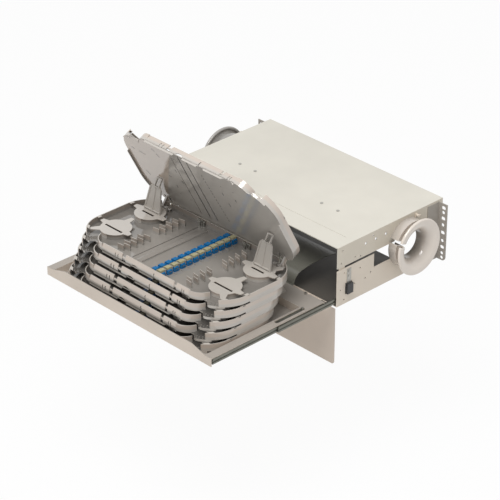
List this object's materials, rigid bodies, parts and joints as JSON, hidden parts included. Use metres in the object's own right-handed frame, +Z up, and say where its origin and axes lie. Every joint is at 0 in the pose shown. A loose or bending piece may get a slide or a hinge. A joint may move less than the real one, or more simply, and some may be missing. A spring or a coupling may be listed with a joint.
{
  "type": "fibre management shelf",
  "caption": "Rack-mounted fibre management shelf: steel case with a telescopic drawer of hinged splice trays, flared side cable guides and a fold-down front flap.",
  "frame": {"origin": "middle of the outer ear bolt pattern, on the front plane of the two mounting ears", "axes": "+X to the right seen from the front, +Y to the back of the rack, +Z up; the drawer opens towards -Y"},
  "size_m": [0.509, 0.559, 0.377],
  "materials": {
    "case_paint": "satin",
    "cover_paint": "satin",
    "drawer_paint": "satin",
    "bell_plastic": "satin",
    "zinc": "satin",
    "slide_steel": "satin",
    "black_plastic": "matte",
    "guide_plastic": "semi gloss",
    "tray_plastic": "semi gloss",
    "adapter_blue": "semi gloss",
    "cap_beige": "matte"
  },
  "bodies": {
    "case": {"base_shell": "case_paint", "top_cover": "cover_paint", "cover_rivets": "zinc", "flap_hinge_rod": "zinc", "ear_right": "case_paint", "bell_mouth_right": "bell_plastic", "outer_rail_right": "slide_steel", "latch_spring_right": "zinc", "wall_hook_right": "zinc", "ear_left": "case_paint", "bell_mouth_left": "bell_plastic", "outer_rail_left": "slide_steel", "latch_spring_left": "zinc", "wall_hook_left": "zinc"},
    "latch_button_right": {"latch_button_right": "black_plastic"},
    "latch_button_left": {"latch_button_left": "black_plastic"},
    "flap": {"flap": "case_paint"},
    "middle_rail_right": {"middle_rail_right": "slide_steel"},
    "middle_rail_left": {"middle_rail_left": "slide_steel"},
    "drawer": {"drawer_pan": "drawer_paint", "drawer_pins": "zinc", "guide_sheet": "guide_plastic", "tray_pads": "black_plastic", "drawer_rail_right": "slide_steel", "hinge_tower_right": "drawer_paint", "drawer_rail_left": "slide_steel", "hinge_tower_left": "drawer_paint"},
    "prop_arm_right": {"prop_arm_right": "tray_plastic"},
    "prop_arm_left": {"prop_arm_left": "tray_plastic"},
    "tray_1": {"tray_1": "tray_plastic", "adapters_1": "adapter_blue", "adapter_caps_1": "cap_beige"},
    "tray_2": {"tray_2": "tray_plastic", "adapters_2": "adapter_blue", "adapter_caps_2": "cap_beige"},
    "tray_3": {"tray_3": "tray_plastic", "adapters_3": "adapter_blue", "adapter_caps_3": "cap_beige"},
    "tray_4": {"tray_4": "tray_plastic", "adapters_4": "adapter_blue", "adapter_caps_4": "cap_beige"},
    "tray_5": {"tray_5": "tray_plastic", "adapters_5": "adapter_blue", "adapter_caps_5": "cap_beige", "prop_bracket_right": "tray_plastic", "prop_bracket_left": "tray_plastic"},
    "tray_6": {"tray_6": "tray_plastic", "adapters_6": "adapter_blue", "adapter_caps_6": "cap_beige"}
  },
  "joints": [
    {"name": "drawer_slide", "type": "slide", "parent": "case", "child": "drawer", "axis": [0, -1, 0], "range_m": [-0.05, 0]},
    {"name": "middle_rail_right_slide", "type": "slide", "parent": "case", "child": "middle_rail_right", "axis": [0, -1, 0], "range_m": [-0.025, 0]},
    {"name": "middle_rail_left_slide", "type": "slide", "parent": "case", "child": "middle_rail_left", "axis": [0, -1, 0], "range_m": [-0.025, 0]},
    {"name": "tray_5_hinge", "type": "hinge", "parent": "drawer", "child": "tray_5", "pos_m": [0, -0.3235, 0.02411], "axis": [-1, 0, 0], "range_deg": [0, 60]},
    {"name": "tray_4_hinge", "type": "hinge", "parent": "drawer", "child": "tray_4", "pos_m": [0, -0.3339, 0.00697], "axis": [-1, 0, 0], "range_deg": [0, 60]},
    {"name": "tray_3_hinge", "type": "hinge", "parent": "drawer", "child": "tray_3", "pos_m": [0, -0.3443, -0.01017], "axis": [-1, 0, 0], "range_deg": [0, 60]},
    {"name": "tray_2_hinge", "type": "hinge", "parent": "drawer", "child": "tray_2", "pos_m": [0, -0.3547, -0.02731], "axis": [-1, 0, 0], "range_deg": [0, 60]},
    {"name": "tray_1_hinge", "type": "hinge", "parent": "drawer", "child": "tray_1", "pos_m": [0, -0.3651, -0.04445], "axis": [-1, 0, 0], "range_deg": [0, 60]},
    {"name": "tray_6_hinge", "type": "hinge", "parent": "tray_5", "child": "tray_6", "pos_m": [0, -0.3131, 0.04125], "axis": [-1, 0, 0], "range_deg": [-62.5, 0]},
    {"name": "prop_arm_right_hinge", "type": "hinge", "parent": "tray_5", "child": "prop_arm_right", "pos_m": [0.141, -0.36, 0.03551], "axis": [-1, 0, 0], "range_deg": [-99.15, 0]},
    {"name": "prop_arm_left_hinge", "type": "hinge", "parent": "tray_5", "child": "prop_arm_left", "pos_m": [-0.141, -0.36, 0.03551], "axis": [-1, 0, 0], "range_deg": [-99.15, 0]},
    {"name": "flap_hinge", "type": "hinge", "parent": "case", "child": "flap", "pos_m": [0, -0.2565, -0.05715], "axis": [-1, 0, 0], "range_deg": [0, 85]},
    {"name": "latch_right_press", "type": "hinge", "parent": "case", "child": "latch_button_right", "pos_m": [0.2204, -0.2275, -0.01565], "axis": [0, 1, 0], "range_deg": [0, 8], "stiffness_Nm_per_rad": 0.05},
    {"name": "latch_left_press", "type": "hinge", "parent": "case", "child": "latch_button_left", "pos_m": [-0.2204, -0.2275, -0.01565], "axis": [0, -1, 0], "range_deg": [0, 8], "stiffness_Nm_per_rad": 0.05}
  ],
  "couplings": [
    {"joint": "middle_rail_right_slide", "follows": "drawer_slide", "ratio": 0.5},
    {"joint": "middle_rail_left_slide", "follows": "drawer_slide", "ratio": 0.5},
    {"joint": "tray_4_hinge", "follows": "tray_5_hinge", "ratio": 1},
    {"joint": "tray_3_hinge", "follows": "tray_5_hinge", "ratio": 1},
    {"joint": "tray_2_hinge", "follows": "tray_5_hinge", "ratio": 1},
    {"joint": "tray_1_hinge", "follows": "tray_5_hinge", "ratio": 1},
    {"joint": "prop_arm_right_hinge", "follows": "tray_6_hinge", "ratio": 1.5856},
    {"joint": "prop_arm_left_hinge", "follows": "tray_6_hinge", "ratio": 1.5856}
  ]
}
